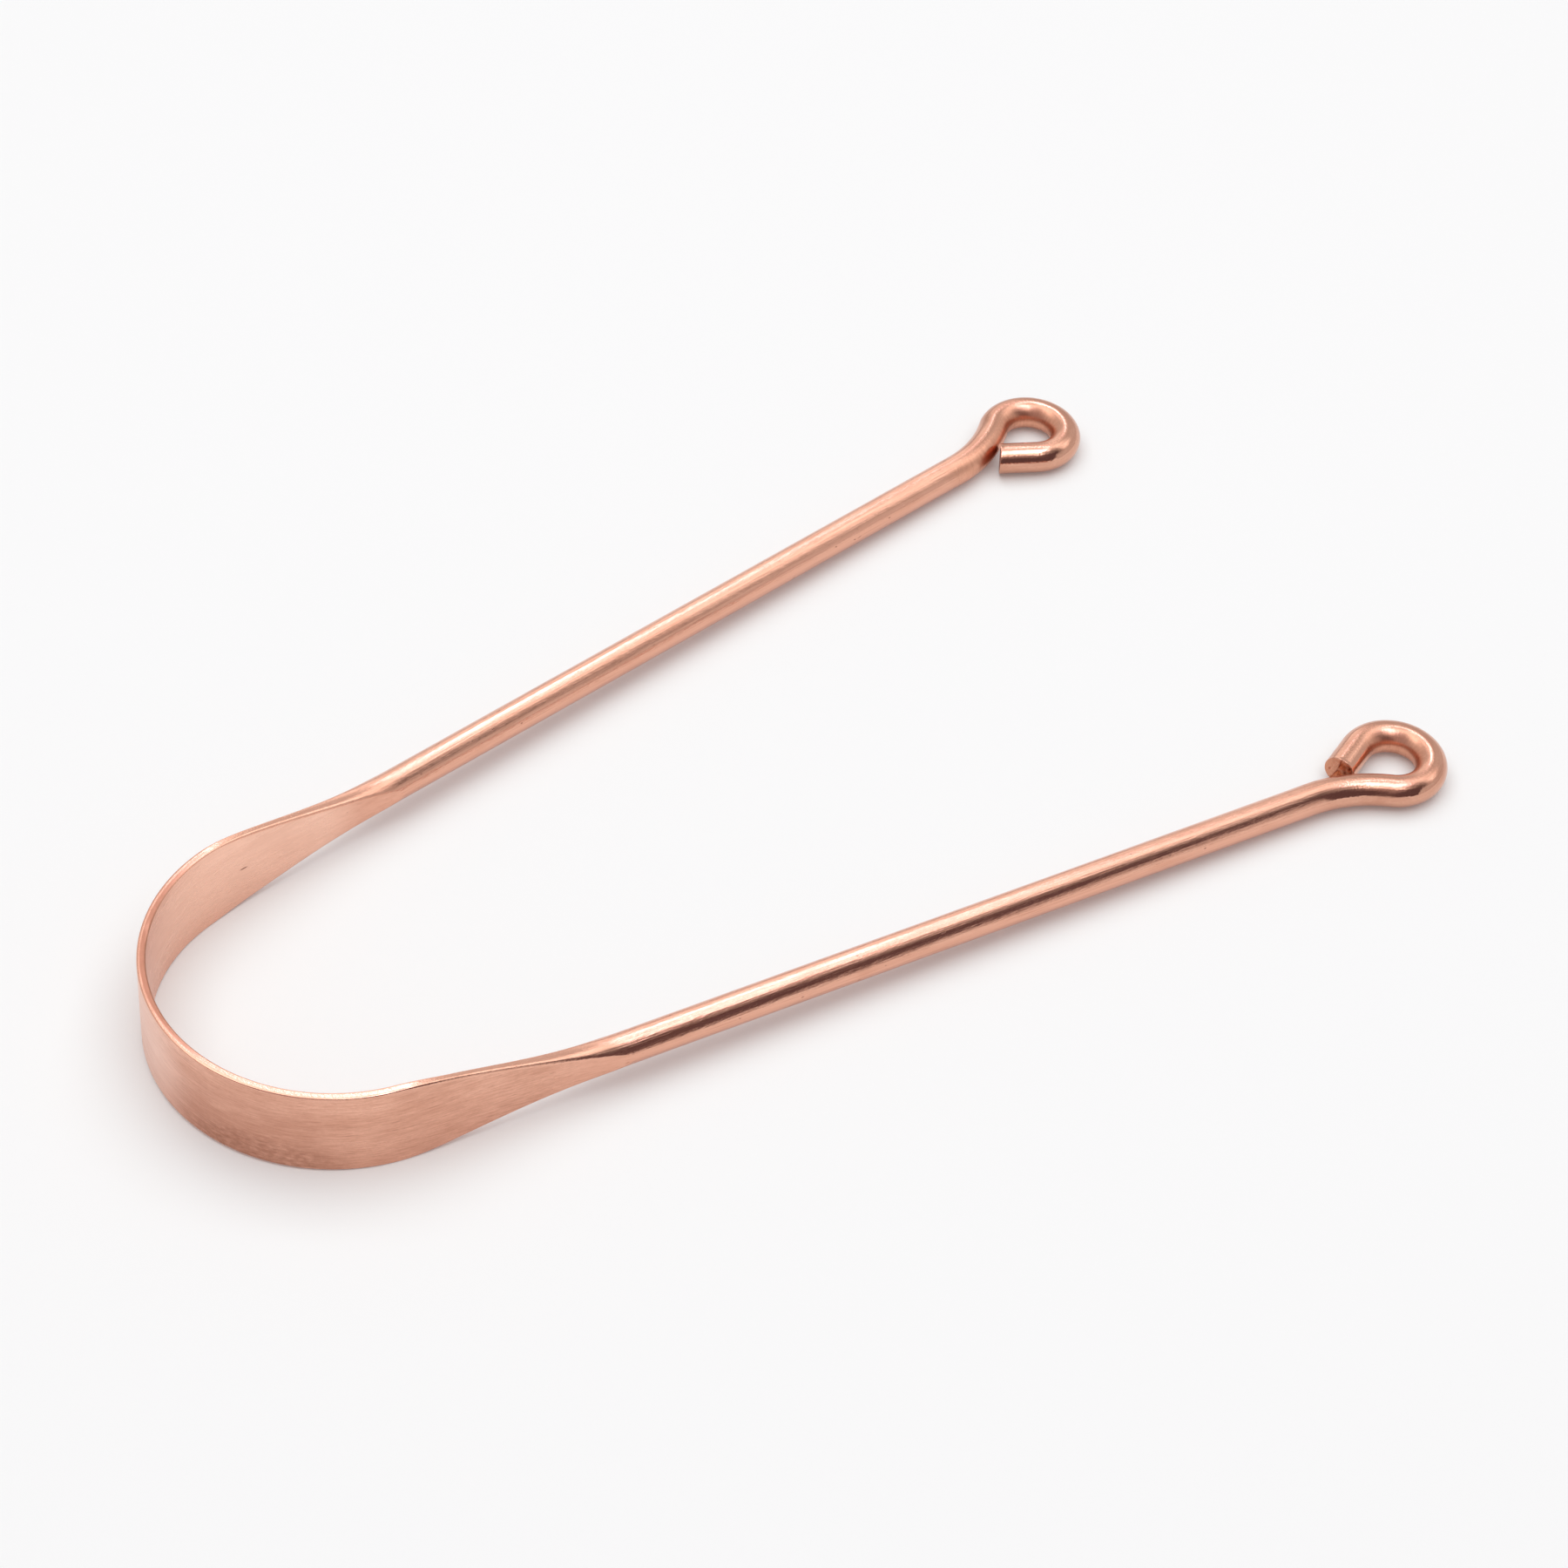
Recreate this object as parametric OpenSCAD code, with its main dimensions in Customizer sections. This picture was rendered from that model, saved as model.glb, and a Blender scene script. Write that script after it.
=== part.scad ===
// Tongue scraper bent from one length of round copper wire.
// Its middle is pressed flat into a band that stands on edge and bends into a bow. Past the bow
// the band grows back into the round wire, which runs on as the arms, and each end of the wire
// is curled into an eye. It lies as it does on a table: +X runs from the bow to the eyes, +Y is
// the left arm's side and +Z is up. The origin is on the table, under the middle of the outline.

/* [Wire] */
// Diameter of the round wire
wire_d = 3.25; // [2.6:0.05:4]

/* [Scraping band] */
// Width of the flattened band, between its two scraping edges
band_w = 9.7; // [7:0.1:12]
// Thickness of the flattened band
band_t = 0.86; // [0.6:0.01:1.4]
// Width of the flat dressed along each scraping edge
edge_flat = 0.4; // [0.2:0.05:0.5]
// Radius of the crown of the bow, to the middle of the band's thickness
crown_r = 17.9; // [15:0.1:22]
// Angle that the crown turns through on each side of its apex
crown_angle = 77; // [70:0.5:80]
// Height of the band's middle above the plane of the round arms
band_rise = 0.65; // [0:0.05:1]

/* [Shoulders] */
// Length of wire over which the band grows back into the round wire
shoulder_l = 23; // [20:0.5:30]
// Length of the slightly curved flank that each shoulder starts with
flank_l = 4.8; // [3:0.1:12]
// How late the thickness grows along the shoulder, where 1 is evenly
thicken_power = 3.4; // [2:0.1:4]
// How late the width shrinks along the shoulder, where 1 is an even S curve
narrow_power = 0.85; // [0.7:0.05:1.2]

/* [Arms] */
// Angle by which each arm spreads from the middle line
arm_spread = 6.8; // [4:0.1:9]
// Length of the straight round rod of each arm
handle_l = 76; // [50:0.5:100]
// Radius of the outward bend that leads into the eye, to the wire's centre line
neck_r = 14.4; // [10:0.1:18]
// Angle of that outward bend
neck_angle = 34.2; // [30:0.1:40]

/* [Eyes] */
// Radius of the eye's loop, to the wire's centre line
eye_r = 3.95; // [3.6:0.05:5]
// Angle that the loop turns back through
loop_angle = 245; // [240:0.5:250]
// Gap between the wire's cut end and the bend that it comes back to
end_gap = 0.15; // [0.1:0.05:0.5]

/* [Hidden] */
$fn = 96;
wire_r = wire_d / 2;
flank_turn = 90 - crown_angle - arm_spread;
// Rings along a shoulder, points across each of its two rounded edges, and the share of the
// wire's diameter at which the flats count as run out, which keeps every facet's edge open
shoulder_rings = 28;
edge_points = 13;
runout_share = 0.999;

// A pose on the wire's centre line is [x, y, heading]. This one lies l further on, after an
// even turn, which is positive to the left.
function move(p, l, turn) =
    let (half = turn / 2, chord = half == 0 ? l : l * sin(half) / (half * PI / 180))
    [p[0] + chord * cos(p[2] + half), p[1] + chord * sin(p[2] + half), p[2] + turn];
function arc_l(r, angle) = r * angle * PI / 180;
function to_left(p, r) = [p[0] - r * sin(p[2]), p[1] + r * cos(p[2])];
function point(p) = [p[0], p[1]];

// The left half's centre line, from the apex of the crown to the loop's end
apex = [0, 0, 90];
crown_end = move(apex, arc_l(crown_r, crown_angle), -crown_angle);
flank_end = move(crown_end, flank_l, -flank_turn);
shoulder_end = move(flank_end, shoulder_l - flank_l, 0);
handle_end = move(shoulder_end, handle_l, 0);
neck_end = move(handle_end, arc_l(neck_r, neck_angle), neck_angle);
loop_end = move(neck_end, arc_l(eye_r, loop_angle), -loop_angle);
neck_centre = to_left(handle_end, neck_r);
loop_centre = to_left(neck_end, -eye_r);

// The cut end's near corner runs straight on from the loop until it is end_gap away from the
// neck's bend, or from the straight rod where it comes back to that
corner = to_left(loop_end, -wire_r);
tail_way = [cos(loop_end[2]), sin(loop_end[2])];
handle_way = [cos(handle_end[2]), sin(handle_end[2])];
from_centre = corner - neck_centre;
stand_off = wire_r + end_gap;
along = from_centre * tail_way;
bend_tail = -along - sqrt(along ^ 2 - from_centre * from_centre + (neck_r + stand_off) ^ 2);
rod_side = [-handle_way[1], handle_way[0]];
rod_tail = (-stand_off - (corner - point(handle_end)) * rod_side) / (tail_way * rod_side);
meets_bend = (corner + bend_tail * tail_way - point(handle_end)) * handle_way >= 0;
tail_l = meets_bend ? bend_tail : rod_tail;

// Section of the wire at the share q of a shoulder, from the flat band at 0 to the round wire
// at 1: two flats t apart, joined by edges that keep the wire's own radius
function ease(q) = q * q * (3 - 2 * q);
function thickness(q) = min(band_t + (wire_d - band_t) * pow(q, thicken_power), runout_share * wire_d);
function width(q) = band_w + (wire_d - band_w) * pow(ease(q), narrow_power);
function edge_reach(q) = sqrt(wire_r ^ 2 - (edge_flat * (1 - q) / 2) ^ 2);
function edge_z(q) = width(q) / 2 - edge_reach(q);
function rise(q) = band_rise * (1 - ease(q));

// One ring of a shoulder: across the upper edge from the outside in, then back across the lower
function ring_pose(q) =
    let (l = q * shoulder_l)
    l < flank_l ? move(crown_end, l, -flank_turn * l / flank_l) : move(flank_end, l - flank_l, 0);
function ring(q) =
    let (p = ring_pose(q), lean = asin(thickness(q) / wire_d))
    [for (side = [1, -1], j = [0 : edge_points - 1])
        let (angle = lean * (1 - 2 * j / (edge_points - 1)),
             place = to_left(p, side * wire_r * sin(angle)),
             height = edge_z(q) + min(wire_r * cos(angle), edge_reach(q)))
        [place[0], place[1], rise(q) + side * height]];
shoulder_points = [for (i = [0 : shoulder_rings]) each ring(i / shoulder_rings)];

// It lies on the lower edge of its band and on its two eyes, which are narrower, so it leans
// until the table touches both
eye_x = loop_centre[0] + eye_r;
function lean_on(p) = atan2(-p[2], eye_x - p[0]) - asin(wire_r / norm([eye_x - p[0], p[2]]));
rest_tilt = max([for (p = shoulder_points) lean_on(p)]);
band_crease = edge_z(0) + sqrt(wire_r ^ 2 - (band_t / 2) ^ 2);
front_x = -band_t / 2 * cos(rest_tilt) + (band_rise - band_crease) * sin(rest_tilt);
back_x = eye_x * cos(rest_tilt) + wire_r;
lift = eye_x * sin(rest_tilt) + wire_r;

module lie() {
    translate([-(front_x + back_x) / 2, 0, lift]) rotate([0, rest_tilt, 0]) children();
}

module right() {
    mirror([0, 1, 0]) children();
}

module at(p) {
    translate(point(p)) rotate(p[2]) children();
}

module rod(l) {
    rotate([0, 90, 0]) cylinder(d = wire_d, h = l);
}

module bend(r, start, angle) {
    rotate_extrude(angle = angle, start = start) translate([r, 0]) circle(d = wire_d);
}

module band_section() {
    intersection() {
        square([band_t, band_w], center = true);
        union() {
            square([wire_d, 2 * edge_z(0)], center = true);
            for (side = [1, -1]) translate([0, side * edge_z(0)]) circle(d = wire_d);
        }
    }
}

module shoulder() {
    count = 2 * edge_points;
    last = shoulder_rings * count;
    sides = [for (i = [0 : shoulder_rings - 1], j = [0 : count - 1])
        let (a = i * count + j, b = i * count + (j + 1) % count)
        each [[a, a + count, b + count], [a, b + count, b]]];
    caps = [[for (j = [0 : count - 1]) j], [for (j = [count - 1 : -1 : 0]) last + j]];
    polyhedron(shoulder_points, concat(sides, caps));
}

module handle() {
    at(handle_end) {
        translate([-handle_l, 0]) rod(handle_l);
        translate([0, neck_r]) bend(neck_r, -90, neck_angle);
    }
}

module eye() {
    at(loop_end) {
        rod(tail_l);
        translate([0, -eye_r]) bend(eye_r, 90, loop_angle);
    }
}

module scraping_band() {
    color("#d39b80") lie() translate([crown_r, 0, band_rise])
        rotate_extrude(angle = 2 * crown_angle, start = 180 - crown_angle)
            translate([crown_r, 0]) band_section();
}

module left_shoulder() {
    color("#cf9377") lie() shoulder();
}

module right_shoulder() {
    color("#cf9377") lie() right() shoulder();
}

module left_handle() {
    color("#cb8c70") lie() handle();
}

module right_handle() {
    color("#cb8c70") lie() right() handle();
}

module left_eye() {
    color("#c68568") lie() eye();
}

module right_eye() {
    color("#c68568") lie() right() eye();
}

scraping_band();
left_shoulder();
right_shoulder();
left_handle();
right_handle();
left_eye();
right_eye();
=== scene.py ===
import bpy
import numpy as np
from mathutils import Matrix, Vector


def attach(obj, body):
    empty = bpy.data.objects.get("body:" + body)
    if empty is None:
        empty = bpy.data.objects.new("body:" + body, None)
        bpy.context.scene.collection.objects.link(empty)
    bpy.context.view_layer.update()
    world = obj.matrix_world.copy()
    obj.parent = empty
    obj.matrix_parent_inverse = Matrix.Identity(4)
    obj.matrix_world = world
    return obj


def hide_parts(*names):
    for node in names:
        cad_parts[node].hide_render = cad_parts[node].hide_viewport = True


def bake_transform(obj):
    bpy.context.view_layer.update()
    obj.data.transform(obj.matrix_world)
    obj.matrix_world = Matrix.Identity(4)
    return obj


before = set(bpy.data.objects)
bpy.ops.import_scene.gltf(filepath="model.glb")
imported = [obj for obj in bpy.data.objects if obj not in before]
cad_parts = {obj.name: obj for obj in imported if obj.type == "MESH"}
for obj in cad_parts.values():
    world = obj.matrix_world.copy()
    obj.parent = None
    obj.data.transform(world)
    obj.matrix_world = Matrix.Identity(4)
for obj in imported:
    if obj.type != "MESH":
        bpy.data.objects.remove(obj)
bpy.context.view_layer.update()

# A copper tongue scraper: one wire, pressed flat in its middle, bent into a bow and curled into
# an eye at each end. Shapes are worked out in millimetres, in the plane of the arms, and laid on
# the table at the end. Left is +Y, and the right half is the left one mirrored.
print("scene: copper tongue scraper")

millimetre = 0.001


def fromHex(code):
    # sRGB hex to linear: divided by 12.92 up to 0.04045, and a power of 2.4 above
    part = np.array([int(code[i:i + 2], 16) for i in (1, 3, 5)]) / 255
    linear = np.where(part <= 0.04045, part / 12.92, ((part + 0.055) / 1.055) ** 2.4)
    return (*linear.tolist(), 1.0)


def smoothStep(x):
    # 3x^2 - 2x^3 between 0 and 1, level at both ends
    x = np.clip(x, 0, 1)
    return x * x * (3 - 2 * x)


# Wire and its bends

wire = {
    "diameter": 3.25,
    "bendRunIn": 0.6,  # mm over which a bend begins, as a bend over a pin does
    "lineStep": 0.02,  # mm between the points of the centre line's table
}

band = {
    "width": 9.7,
    "thickness": 0.86,
    "edgeFlat": 0.4,
    "crease": 0.15,  # radius left along each crease by polishing
    "rise": 0.65,  # middle of the band above the plane of the arms
    "crownRadius": 17.9,
    "crownTurn": 77,
}

shoulder = {
    "length": 23.0,
    "flank": 4.8,
    "flankTurn": 6.2,
    "thickenPower": 3.4,
    "narrowPower": 0.85,
    "runOut": 0.999,  # share of the wire's diameter at which the flats count as run out
    "softerStart": 1.3,  # how much wider the crease is past the start, and what its end adds
    "softerEnd": 2.0,
    "startShare": 0.25,  # share of the shoulder over which the start does so
    "creaseMost": 0.9,  # share of half the thickness that the crease may take
}

arm = {
    "rod": 76.0,
    "neckRadius": 14.4,
    "neckTurn": 34.2,
    "loopRadius": 3.95,
    "loopTurn": 245,
}

# by hand each loop closes a little differently: the rest of its turn, the radius and tail there,
# the slant of the cut and how far from the middle the blade cut clean
loopEnds = {
    1: {"turn": 94, "radius": 3.6, "tail": 4.1, "slant": 10.5, "cleanCut": -1.0},
    -1: {"turn": 90, "radius": 3.95, "tail": 3.98, "slant": 0, "cleanCut": 0.35},
}

lying = {  # what the CAD model's own rule gives for how it rests on its band and two eyes
    "tilt": 1.31082,  # degrees, nose up
    "along": -63.744,
    "lift": 4.51702,
}

wireRadius = wire["diameter"] / 2
crownLength = band["crownRadius"] * np.radians(band["crownTurn"])
shoulderEnd = crownLength + shoulder["length"]
neckStart = shoulderEnd + arm["rod"]
loopStart = neckStart + arm["neckRadius"] * np.radians(arm["neckTurn"])


def makeBends(side):
    # length and turn of each stretch of one half, from the apex of the bow to the cut end
    ending = loopEnds[side]
    return [
        (crownLength, -band["crownTurn"]),
        (shoulder["flank"], -shoulder["flankTurn"]),
        (shoulder["length"] - shoulder["flank"], 0),
        (arm["rod"], 0),
        (loopStart - neckStart, arm["neckTurn"]),
        (arm["loopRadius"] * np.radians(arm["loopTurn"] - 90), 90 - arm["loopTurn"]),
        (ending["radius"] * np.radians(ending["turn"]), -ending["turn"]),
        (ending["tail"], 0),
    ]


def centreLineTable(bends):
    # heading is the running sum of the turns, averaged over the bend's run-in, and the place is
    # the running sum of the way it points. It goes on straight for 1 mm past the cut end
    step = wire["lineStep"]
    lengths, turns = np.array(bends + [(1, 0)]).T
    along = np.arange(0, lengths.sum(), step)
    heading = 90 + np.interp(along, np.cumsum([0, *lengths]), np.cumsum([0, *turns]))
    reach = int(wire["bendRunIn"] / step)
    kernel = smoothStep(1 - np.abs(np.arange(-reach, reach + 1)) / reach)
    padded = np.pad(np.radians(heading), reach, mode="reflect", reflect_type="odd")
    heading = np.convolve(padded, kernel / kernel.sum(), mode="valid")
    way = np.stack([np.cos(heading), np.sin(heading)])
    gone = np.cumsum((way[:, 1:] + way[:, :-1]) / 2, 1) * step
    place = np.concatenate([np.zeros((2, 1)), gone], 1)
    return along, place, heading


lines = {side: centreLineTable(makeBends(side)) for side in loopEnds}
wireEnds = {side: sum(length for length, turn in makeBends(side)) for side in loopEnds}


def centreLine(along, side):
    # place and heading at each length along one half, read from its table
    tableAlong, tablePlace, tableHeading = lines[side]
    place = [np.interp(along, tableAlong, tablePlace[i]) for i in (0, 1)]
    return place[0], place[1], np.interp(along, tableAlong, tableHeading)


def toTable(points):
    # turned nose up about the Y axis by the tilt, moved, and from millimetres to metres
    tilt = np.radians(lying["tilt"])
    x, y, z = points[..., 0], points[..., 1], points[..., 2]
    lain = [x * np.cos(tilt) + z * np.sin(tilt) + lying["along"], y,
            z * np.cos(tilt) - x * np.sin(tilt) + lying["lift"]]
    return np.stack(lain, -1) * millimetre


def bendWire(along, out, up, side):
    # a point of the straight wire, by its length along it and its place across it, is carried
    # square to the centre line, with the band's rise eased away over the shoulder
    x, y, heading = centreLine(along, side)
    rise = band["rise"] * (1 - smoothStep((along - crownLength) / shoulder["length"]))
    x, y = x - out * np.sin(heading), side * (y + out * np.cos(heading))
    points = np.stack([x, y, rise + up], -1)
    straight = np.stack([side * along + 0 * out, out, up], -1)
    return toTable(points), straight


# Section of the wire

columns = {
    "flat": 7,
    "crowding": 2.2,  # how much closer the flat's columns lie toward its crease
    "crease": 5,
    "edge": 9,
    "evenOver": 6.0,  # mm past the shoulder over which all columns even out
}


def section(along):
    # quarter of the section, from the middle of the flat to the middle of the edge: the flat at
    # half the thickness, a crease of small radius, and an edge with the wire's own radius. The
    # share q runs from 0 on the band to 1 on the round wire
    q = np.clip((along - crownLength) / shoulder["length"], 0, 1)[:, None]
    thicker = wire["diameter"] - band["thickness"]
    grown = band["thickness"] + thicker * q ** shoulder["thickenPower"]
    half = np.minimum(grown, shoulder["runOut"] * wire["diameter"]) / 2
    narrower = wire["diameter"] - band["width"]
    width = band["width"] + narrower * smoothStep(q) ** shoulder["narrowPower"]
    dressed = band["edgeFlat"] * (1 - q) / 2
    reach = np.sqrt(wireRadius ** 2 - dressed ** 2)
    edgeMiddle = width / 2 - reach
    softened = shoulder["softerStart"] * smoothStep(q / shoulder["startShare"])
    crease = band["crease"] * (1 + softened + shoulder["softerEnd"] * q ** 3)
    crease = np.minimum(crease, shoulder["creaseMost"] * half)
    lean = np.arcsin((half - crease) / (wireRadius - crease))
    creaseHeight = edgeMiddle + (wireRadius - crease) * np.cos(lean)

    share = np.linspace(0, 1, columns["flat"])[None, :]
    share = 1 - (1 - share) ** columns["crowding"]
    flatOut = half + 0 * share
    flatUp = creaseHeight * share
    turn = np.linspace(0, 1, columns["crease"] + 1)[None, 1:]
    angle = np.pi / 2 + (lean - np.pi / 2) * turn
    creaseOut = half - crease + crease * np.sin(angle)
    creaseUp = creaseHeight + crease * np.cos(angle)
    turn = np.linspace(0, 1, columns["edge"] + 1)[None, 1:]
    angle = lean * (1 - turn)
    edgeOut = wireRadius * np.sin(angle)
    edgeUp = edgeMiddle + np.minimum(wireRadius * np.cos(angle), reach)
    out = np.concatenate([flatOut, creaseOut, edgeOut], 1)
    up = np.concatenate([flatUp, creaseUp, edgeUp], 1)

    # past the shoulder the columns even out round the circle
    count = out.shape[1]
    now = np.arctan2(out, up)
    even = np.pi / 2 * (1 - np.arange(count) / (count - 1))[None, :]
    blend = smoothStep((along - shoulderEnd) / columns["evenOver"])[:, None]
    angle = now + (even - now) * blend
    isRound = (along >= shoulderEnd)[:, None]
    out = np.where(isRound, wireRadius * np.sin(angle), out)
    up = np.where(isRound, wireRadius * np.cos(angle), up)
    onEdge = np.concatenate([0 * flatUp[0], np.ones(columns["crease"] + columns["edge"])])
    return out, up, np.where(isRound, 1.0, onEdge[None, :])


def fullRing(quarter, flipOut, flipUp):
    # the quarter, then mirrored across the middle of the edge, both, and across the flat
    a, b = quarter, quarter[:, -2::-1] * flipOut
    c, d = quarter[:, 1:] * flipOut * flipUp, quarter[:, -2:0:-1] * flipUp
    return np.concatenate([a, b, c, d], 1)


def stations(start, end, step, close=0.02):
    # evenly spaced, with one more close to each end so that shading doesn't bend at a joint
    even = np.linspace(start, end, int(round((end - start) / step)) + 1)
    return np.concatenate([even[:1], [start + close], even[1:-1], [end - close], even[-1:]])


def makeMesh(name, points, faces, attributes, smooth, sharpRings=()):
    # vertices and faces from arrays, with point attributes, and sharp edges round the caps
    mesh = bpy.data.meshes.new(name)
    mesh.from_pydata(points.reshape(-1, 3).tolist(), [], faces)
    for key, (kind, values) in attributes.items():
        attribute = mesh.attributes.new(key, kind, "POINT")
        field = "vector" if kind == "FLOAT_VECTOR" else "value"
        attribute.data.foreach_set(field, np.asarray(values, np.float32).ravel())
    mesh.polygons.foreach_set("use_smooth", smooth)
    if len(sharpRings):
        ends = np.zeros(len(mesh.edges) * 2, np.int32)
        mesh.edges.foreach_get("vertices", ends)
        onRing = np.isin(ends, sharpRings).reshape(-1, 2).all(1)
        mesh.edges.foreach_set("use_edge_sharp", onRing)
    mesh.update()
    piece = bpy.data.objects.new(name, mesh)
    bpy.context.scene.collection.objects.link(piece)
    return piece


def makeTube(name, points, attributes, flip):
    # quads between neighbouring rings, closed round, and one face over each end
    rows, count = points.shape[:2]
    i, j = np.meshgrid(np.arange(rows - 1), np.arange(count), indexing="ij")
    k = (j + 1) % count
    quads = np.stack([i * count + j, i * count + k, (i + 1) * count + k, (i + 1) * count + j], -1)
    first, last = np.arange(count)[::-1], (rows - 1) * count + np.arange(count)
    faces = quads.reshape(-1, 4).tolist() + [first.tolist(), last.tolist()]
    if flip:
        faces = [face[::-1] for face in faces]
    smooth = [True] * (len(faces) - 2) + [False] * 2
    return makeMesh(name, points, faces, attributes, smooth, np.concatenate([first, last]))


bending = {
    "before": 3.0,  # mm before the neck where the skin starts to change
    "stretchedOver": 8.0,  # mm over which the stretched skin comes in
    "pressedOver": 4.0,  # mm over which the pressed inner side comes in
    "tailBefore": 1.0,  # mm before the tail where that starts to fade, and over which it goes
    "tailOver": 3.0,
    "innerFrom": 0.0625,  # shares of the radius, inward of the middle, where it starts and is full
    "innerTo": 0.6875,
}


def pressed(along, out, side):
    # 1 on the inner side of the neck and of the loop, fading toward the straight tail
    tailStart = wireEnds[side] - loopEnds[side]["tail"]
    begun = smoothStep((along - neckStart + bending["before"]) / bending["pressedOver"])
    ended = smoothStep((along - tailStart + bending["tailBefore"]) / bending["tailOver"])
    reach = bending["innerTo"] - bending["innerFrom"]
    return begun * (1 - ended) * smoothStep((-out / wireRadius - bending["innerFrom"]) / reach)


def makeWire(name, start, end, step, side):
    # the section carried along the bent wire from one length to another
    along = stations(start, end, step)
    out, up, onEdge = section(along)
    out, up, onEdge = fullRing(out, -1, 1), fullRing(up, 1, -1), fullRing(onEdge, 1, 1)
    points, straight = bendWire(along[:, None] + 0 * out, out, up, side)
    bent = smoothStep((along - neckStart + bending["before"]) / bending["stretchedOver"])
    attributes = {
        "straightWire": ("FLOAT_VECTOR", straight),
        "onEdge": ("FLOAT", onEdge),
        "bent": ("FLOAT", bent[:, None] + 0 * out),
        "pressed": ("FLOAT", pressed(along[:, None], out, side)),
    }
    return makeTube(name, points, attributes, side < 0)


# Cut ends

cutEnd = {
    "length": 0.9,  # mm of the wire that the piece takes in
    "columns": 152,
    "skinRings": 8,
    "rimRings": 6,
    "faceRings": 33,
    "middle": 0.015,  # radius of the small face that closes the middle
    "easing": 0.06,  # radius left along the rim
    "step": 0.14,  # drop from the clean cut to the torn floor
    "stepOver": 0.16,  # mm over which it drops, and over which it comes back up to the rim
    "rimOver": 0.25,
    "lineBow": 0.12,  # bow and slope of the line between the clean cut and the torn part
    "lineSlope": 0.35,
    "ridges": 0.06,  # height of the torn floor's ridges, their lengths and how many are added up
    "ridgeLengths": (0.3, 1.2),
    "ridgeCount": 9,
    "patchy": 0.25,  # share of the torn finish that comes and goes with them
    "pit": 0.1,  # depth of the pit in the clean cut, its place and the square of its width
    "pitOut": 1.02,
    "pitUp": -0.1,
    "pitWidth": 0.012,
    "burr": 0.18,  # height of the lip pushed up over the rim
    "burrTurn": -12,  # degrees from the top to the middle of the burr, and its half width
    "burrHalf": 40,
    "burrWave": 0.2,  # share of its height that comes and goes, and how often round the wire
    "burrWaves": 9,
    "burrThick": 0.1,  # mm
    "burrFrom": 0.75,  # share of the piece's length from which it rises
    "burrLean": 0.35,  # how far it leans out, as a share of its height
}


def ridges(out, up, seed):
    # waves in random directions, added up and brought to about 1: sum of sine(2 pi place / length)
    # times length, over the square root of their number
    chance = np.random.default_rng(seed)
    total = 0 * out
    for length in np.geomspace(*cutEnd["ridgeLengths"], cutEnd["ridgeCount"]):
        turn, phase = chance.uniform(0, 2 * np.pi, 2)
        reach = out * np.cos(turn) + up * np.sin(turn)
        total = total + np.sin(2 * np.pi * reach / length + phase) * length
    return total / np.sqrt(cutEnd["ridgeCount"])


def makeCutEnd(name, side, seed):
    # rows run along the wire's skin, over an eased rim and in to the middle of the sheared face,
    # which slants by its own angle. The blade cut clean on one side. From there the face steps
    # down and is torn, and the far rim carries a burr
    easing, flatRadius = cutEnd["easing"], wireRadius - cutEnd["easing"]
    skin = np.linspace(0, 1, cutEnd["skinRings"] + 1)[:-1]
    turn = np.linspace(0, np.pi / 2, cutEnd["rimRings"])
    inward = flatRadius * (1 - np.linspace(0, 1, cutEnd["faceRings"] + 1)[1:]) + cutEnd["middle"]
    rim = flatRadius + easing * np.cos(turn)
    radii = np.concatenate([0 * skin + wireRadius, rim, inward])[:, None]
    around = (2 * np.pi * (0.25 - np.arange(cutEnd["columns"]) / cutEnd["columns"]))[None, :]
    out, up = radii * np.sin(around), radii * np.cos(around)
    share = np.concatenate([skin, 0 * turn + 1, 0 * inward + 1])[:, None]
    eased = np.concatenate([0 * skin - easing, easing * (np.sin(turn) - 1), 0 * inward])[:, None]
    slanted = out * np.tan(np.radians(loopEnds[side]["slant"]))
    lengths = (share - 1) * (cutEnd["length"] - easing) + share * slanted + eased

    inside = smoothStep((flatRadius - radii) / cutEnd["rimOver"])
    line = loopEnds[side]["cleanCut"] + cutEnd["lineBow"] * up ** 2 - cutEnd["lineSlope"] * up
    torn = smoothStep((line - out) / cutEnd["stepOver"]) * inside
    rough = ridges(out, up, seed)
    drop = torn * (cutEnd["step"] + cutEnd["ridges"] * rough)
    offPit = (out - cutEnd["pitOut"]) ** 2 + (up - cutEnd["pitUp"]) ** 2
    pit = np.exp(-offPit / cutEnd["pitWidth"]) * cutEnd["pit"]
    offBurr = (around - np.radians(cutEnd["burrTurn"]) + np.pi) % (2 * np.pi) - np.pi
    wave = 1 - cutEnd["burrWave"] * (1 - np.sin(cutEnd["burrWaves"] * around))
    lip = (1 - smoothStep(np.degrees(np.abs(offBurr)) / cutEnd["burrHalf"])) * wave
    nearRim = np.exp(-((radii - wireRadius) / cutEnd["burrThick"]) ** 2)
    rising = smoothStep((share - cutEnd["burrFrom"]) / (1 - cutEnd["burrFrom"]))
    burr = cutEnd["burr"] * lip * nearRim * rising
    radii = radii + cutEnd["burrLean"] * burr
    lengths = lengths - drop - pit + burr
    out, up = radii * np.sin(around), radii * np.cos(around)
    points, straight = bendWire(wireEnds[side] + lengths, out, up, side)
    cut = smoothStep((wireRadius - radii) / easing)
    patchy = 1 - cutEnd["patchy"] * (1 - np.clip(rough, -1, 1))
    attributes = {
        "straightWire": ("FLOAT_VECTOR", straight),
        "cutFace": ("FLOAT", cut),
        "torn": ("FLOAT", torn * patchy),
    }
    return makeTube(name, points, attributes, side < 0)


# Materials

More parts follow.
